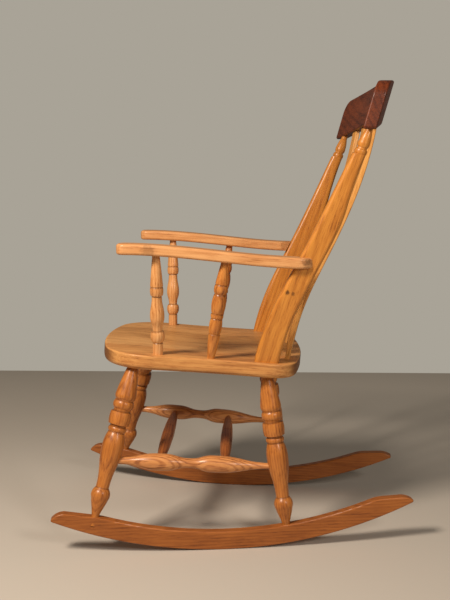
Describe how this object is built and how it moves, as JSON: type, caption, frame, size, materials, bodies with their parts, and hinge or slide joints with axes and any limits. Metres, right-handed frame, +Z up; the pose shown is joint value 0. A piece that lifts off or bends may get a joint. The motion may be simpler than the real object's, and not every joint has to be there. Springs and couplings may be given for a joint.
{
  "type": "rocking chair",
  "caption": "Wooden lath-back rocking armchair: dished plank seat on splayed turned legs and curved rockers, flat arms on turned supports, curved crest rail.",
  "frame": {"origin": "On the floor, midway between the two rockers and midway between their front and rear tips.", "axes": "+Z up, the sitter faces -Y, +X is the sitter's left."},
  "size_m": [0.6, 0.8411, 1.0765],
  "materials": {
    "sawn_wood": "golden honey stain under satin varnish",
    "turned_wood": "golden honey stain under satin varnish, lathe turned",
    "seat_wood": "golden honey stain under satin varnish, worn smooth on top",
    "lath_wood": "golden honey stain under satin varnish, steam bent",
    "crest_wood": "dark red-brown stain under satin varnish",
    "dowel_wood": "bare beech, hidden in the joint"
  },
  "bodies": {
    "root": {"rocker_left": "sawn_wood", "rocker_right": "sawn_wood", "front_leg_left": "turned_wood", "front_leg_right": "turned_wood", "rear_leg_left": "turned_wood", "rear_leg_right": "turned_wood", "side_stretcher_left": "turned_wood", "side_stretcher_right": "turned_wood", "front_arm_support_left": "turned_wood", "front_arm_support_right": "turned_wood", "rear_arm_support_left": "turned_wood", "rear_arm_support_right": "turned_wood", "arm_left": "sawn_wood", "arm_right": "sawn_wood", "back_post_left": "sawn_wood", "back_post_right": "sawn_wood", "cross_stretcher_front": "turned_wood", "cross_stretcher_rear": "turned_wood", "seat_board_1": "seat_wood", "seat_board_2": "seat_wood", "seat_board_3": "seat_wood", "seat_board_4": "seat_wood", "crest_rail": "crest_wood", "back_lath_1": "lath_wood", "back_lath_2": "lath_wood", "back_lath_3": "lath_wood", "back_lath_4": "lath_wood", "back_lath_5": "lath_wood", "arm_dowels": "dowel_wood"}
  },
  "joints": []
}
